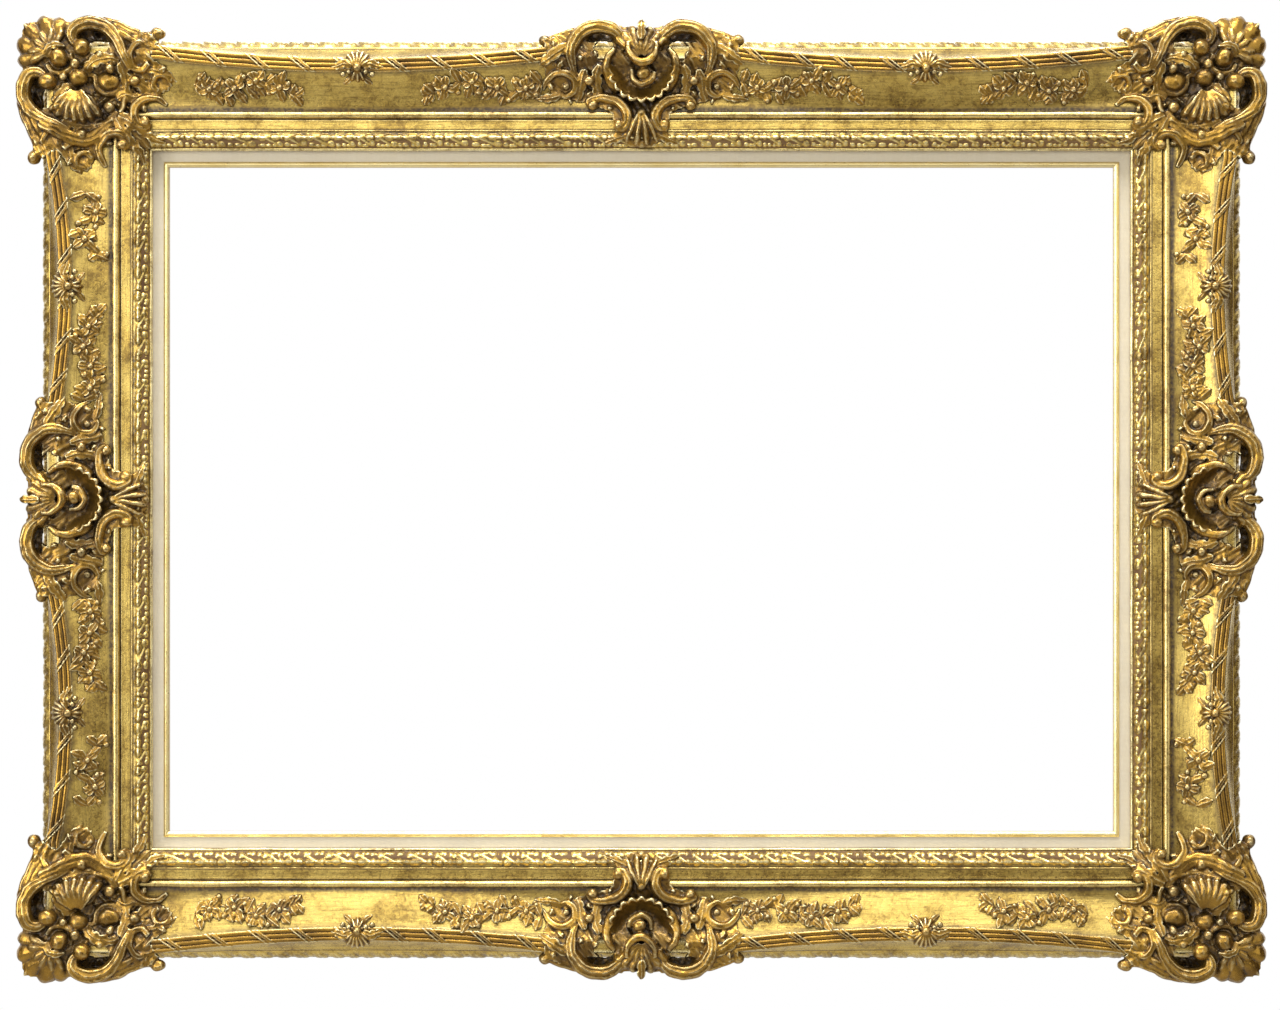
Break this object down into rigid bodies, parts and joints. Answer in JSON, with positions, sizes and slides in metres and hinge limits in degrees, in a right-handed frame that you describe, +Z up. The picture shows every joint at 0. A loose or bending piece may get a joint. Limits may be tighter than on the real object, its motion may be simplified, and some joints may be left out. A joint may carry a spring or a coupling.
{
  "type": "picture frame",
  "caption": "Swept and pierced gilt picture frame with shell corners and centres, reeded ridge, flowered cove and a linen liner, for a landscape canvas; turn buttons and ring hangers behind.",
  "frame": {"origin": "centre of the bounding box of the hung frame", "axes": "+X to the viewer's right, +Z up, the carved front faces -Y and the wall is at +Y"},
  "size_m": [1.1958, 0.085, 0.9258],
  "materials": {
    "gilt_wood": "carved wood under gesso and burnished gold leaf, toned brown in the hollows",
    "gilt_slip": "small gilt moulding, pale gold",
    "liner_pine": "bare planed pine",
    "linen": "natural linen stretched over the liner",
    "beech_key": "bare beech, sanded flush",
    "brass": "stamped and lacquered brass",
    "ring_steel": "nickel-plated steel wire",
    "felt": "pressed dark felt"
  },
  "bodies": {
    "frame": {"top_rail": "gilt_wood", "bottom_rail": "gilt_wood", "left_rail": "gilt_wood", "right_rail": "gilt_wood", "mitre_key_top_left": "beech_key", "mitre_key_top_right": "beech_key", "mitre_key_bottom_left": "beech_key", "mitre_key_bottom_right": "beech_key", "reed_top_left": "gilt_wood", "reed_top_right": "gilt_wood", "reed_bottom_left": "gilt_wood", "reed_bottom_right": "gilt_wood", "reed_left_upper": "gilt_wood", "reed_left_lower": "gilt_wood", "reed_right_upper": "gilt_wood", "reed_right_lower": "gilt_wood", "reed_clasps_top": "gilt_wood", "reed_clasps_bottom": "gilt_wood", "reed_clasps_left": "gilt_wood", "reed_clasps_right": "gilt_wood", "corner_top_left": "gilt_wood", "corner_top_right": "gilt_wood", "corner_bottom_left": "gilt_wood", "corner_bottom_right": "gilt_wood", "centre_top": "gilt_wood", "centre_bottom": "gilt_wood", "centre_left": "gilt_wood", "centre_right": "gilt_wood", "sprays_top": "gilt_wood", "sprays_bottom": "gilt_wood", "sprays_left": "gilt_wood", "sprays_right": "gilt_wood", "liner_top": "liner_pine", "liner_bottom": "liner_pine", "liner_left": "liner_pine", "liner_right": "liner_pine", "linen_top": "linen", "linen_bottom": "linen", "linen_left": "linen", "linen_right": "linen", "slip_top": "gilt_slip", "slip_bottom": "gilt_slip", "slip_left": "gilt_slip", "slip_right": "gilt_slip", "hanger_strap_left": "brass", "hanger_strap_right": "brass", "hanger_screws": "brass", "button_screws": "brass", "wall_bumpers": "felt"},
    "turn_button_top_left": {"turn_button_top_left": "brass"},
    "turn_button_top_right": {"turn_button_top_right": "brass"},
    "turn_button_bottom_left": {"turn_button_bottom_left": "brass"},
    "turn_button_bottom_right": {"turn_button_bottom_right": "brass"},
    "turn_button_left_upper": {"turn_button_left_upper": "brass"},
    "turn_button_left_lower": {"turn_button_left_lower": "brass"},
    "turn_button_right_upper": {"turn_button_right_upper": "brass"},
    "turn_button_right_lower": {"turn_button_right_lower": "brass"},
    "hanger_ring_left": {"hanger_ring_left": "ring_steel"},
    "hanger_ring_right": {"hanger_ring_right": "ring_steel"}
  },
  "joints": [
    {"name": "turn_button_top_left_turn", "type": "hinge", "parent": "frame", "child": "turn_button_top_left", "pos_m": [-0.3453, 0.03625, 0.3529], "axis": [0, 1, 0], "continuous": true},
    {"name": "turn_button_top_right_turn", "type": "hinge", "parent": "frame", "child": "turn_button_top_right", "pos_m": [0.3453, 0.03625, 0.3529], "axis": [0, 1, 0], "continuous": true},
    {"name": "turn_button_bottom_left_turn", "type": "hinge", "parent": "frame", "child": "turn_button_bottom_left", "pos_m": [-0.3453, 0.03625, -0.3529], "axis": [0, 1, 0], "continuous": true},
    {"name": "turn_button_bottom_right_turn", "type": "hinge", "parent": "frame", "child": "turn_button_bottom_right", "pos_m": [0.3453, 0.03625, -0.3529], "axis": [0, 1, 0], "continuous": true},
    {"name": "turn_button_left_upper_turn", "type": "hinge", "parent": "frame", "child": "turn_button_left_upper", "pos_m": [-0.4879, 0.03625, 0.2643], "axis": [0, 1, 0], "continuous": true},
    {"name": "turn_button_left_lower_turn", "type": "hinge", "parent": "frame", "child": "turn_button_left_lower", "pos_m": [-0.4879, 0.03625, -0.2643], "axis": [0, 1, 0], "continuous": true},
    {"name": "turn_button_right_upper_turn", "type": "hinge", "parent": "frame", "child": "turn_button_right_upper", "pos_m": [0.4879, 0.03625, 0.2643], "axis": [0, 1, 0], "continuous": true},
    {"name": "turn_button_right_lower_turn", "type": "hinge", "parent": "frame", "child": "turn_button_right_lower", "pos_m": [0.4879, 0.03625, -0.2643], "axis": [0, 1, 0], "continuous": true},
    {"name": "hanger_ring_left_swing", "type": "hinge", "parent": "frame", "child": "hanger_ring_left", "pos_m": [-0.5041, 0.03815, 0.21144], "axis": [0, 0, 1], "range_deg": [0, 165]},
    {"name": "hanger_ring_right_swing", "type": "hinge", "parent": "frame", "child": "hanger_ring_right", "pos_m": [0.5041, 0.03815, 0.21144], "axis": [0, 0, -1], "range_deg": [0, 165]}
  ]
}
